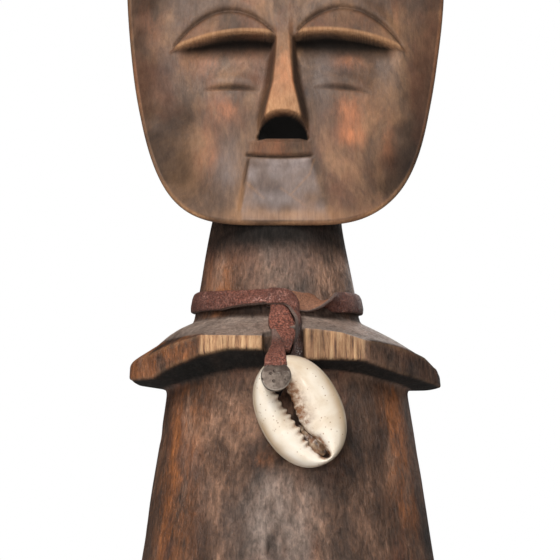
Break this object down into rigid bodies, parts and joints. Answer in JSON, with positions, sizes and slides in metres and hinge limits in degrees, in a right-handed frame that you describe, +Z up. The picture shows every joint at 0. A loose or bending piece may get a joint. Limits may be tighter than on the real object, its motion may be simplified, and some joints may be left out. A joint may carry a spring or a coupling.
{
  "type": "carved ancestor figure",
  "caption": "Carved wooden figure with a flat face, round neck, drooping shoulder flange and flared body, wearing a knotted leather thong with a riveted cowrie shell.",
  "frame": {"origin": "centre of the base's underside, on the surface the figure stands on", "axes": "+Z up the figure, -Y the way the face looks, +X to the right of a viewer who faces it"},
  "size_m": [0.0746, 0.0737, 0.2116],
  "materials": {
    "wood": "dark brown, hand-worn, dull sheen",
    "leather": "reddish brown, pebbled",
    "iron": "dull grey, hammered",
    "cowrie": "natural cowrie shell, glossy cream"
  },
  "bodies": {
    "figure": {"carved_figure": "wood"},
    "neck_loop": {"thong_neck_loop": "leather"},
    "pendant": {"thong_front_end": "leather", "thong_back_end": "leather", "rivet_stud": "iron", "rivet_burr": "iron"},
    "shell": {"cowrie_shell": "cowrie"}
  },
  "joints": [
    {"name": "collar_turn", "type": "hinge", "parent": "figure", "child": "neck_loop", "pos_m": [-0.0029, 0, 0.0904], "axis": [0, 0, 1], "range_deg": [-4, 1]},
    {"name": "pendant_lift", "type": "hinge", "parent": "neck_loop", "child": "pendant", "pos_m": [-0.0018, -0.01929, 0.0895], "axis": [-1, 0, 0], "range_deg": [0, 80]},
    {"name": "shell_turn", "type": "hinge", "parent": "pendant", "child": "shell", "pos_m": [-0.0028, -0.0288, 0.073], "axis": [0, -1, 0], "range_deg": [-52, 15]}
  ]
}
